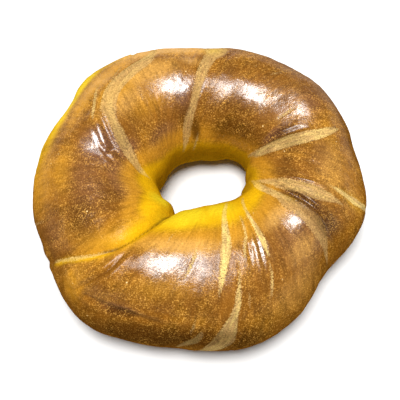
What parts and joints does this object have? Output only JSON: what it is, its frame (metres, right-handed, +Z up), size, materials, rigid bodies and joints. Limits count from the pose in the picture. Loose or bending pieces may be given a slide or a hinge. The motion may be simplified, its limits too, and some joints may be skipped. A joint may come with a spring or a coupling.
{
  "type": "bagel",
  "caption": "Hand-rolled baked bagel: one twisted rope of dough closed into a flat-bottomed ring with a slanted seam, a small centre hole and a glazed crust.",
  "frame": {"origin": "on the surface the bagel rests on, under the middle of its overall box", "axes": "+Z up out of the ring's crown, +X along its longest width, with the seam on the -X -Y side"},
  "size_m": [0.1144, 0.111, 0.0438],
  "materials": {
    "crust": "boiled, egg-washed and baked crust: glossy brown with paler matte stretch streaks, golden in the hole and along the seam"
  },
  "bodies": {
    "root": {"bagel": "crust"}
  },
  "joints": []
}
